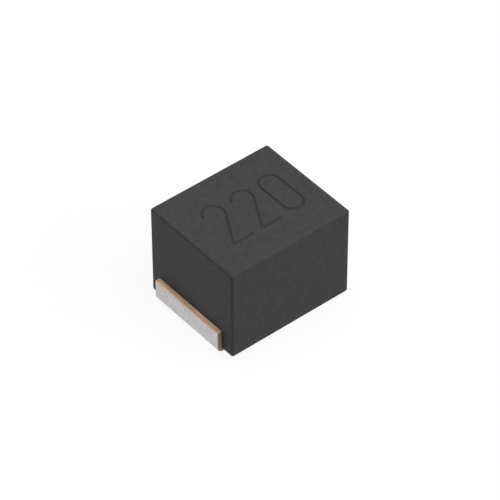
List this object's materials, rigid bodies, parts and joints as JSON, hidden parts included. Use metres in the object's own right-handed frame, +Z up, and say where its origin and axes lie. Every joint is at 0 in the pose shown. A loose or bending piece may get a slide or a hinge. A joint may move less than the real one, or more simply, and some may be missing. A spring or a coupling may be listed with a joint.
{
  "type": "shielded smd inductor",
  "caption": "Surface-mount shielded inductor: a matt dark moulded block round a wound ferrite drum, with a tinned strip terminal bent up each end face.",
  "frame": {"origin": "middle of the footprint, on the board plane that the solder pads stand on", "axes": "+X along the block from the left terminal to the right one, +Z up from the board, +Y across the block"},
  "size_m": [0.0032, 0.0026, 0.0022],
  "materials": {
    "moulding_compound": "ferrite-filled epoxy, fine matt mould finish",
    "ferrite": "sintered and tumbled",
    "enamelled_wire": "clear enamelled copper",
    "tinned_strip": "matt tin over copper alloy, bare copper on the cut edges",
    "weld_metal": "once-melted copper and tin",
    "adhesive": "cured epoxy"
  },
  "bodies": {
    "root": {"moulded_body": "moulding_compound", "drum_core": "ferrite", "winding": "enamelled_wire", "terminal_left": "tinned_strip", "terminal_right": "tinned_strip", "weld_left": "weld_metal", "weld_right": "weld_metal", "bond_left": "adhesive", "bond_right": "adhesive"}
  },
  "joints": []
}
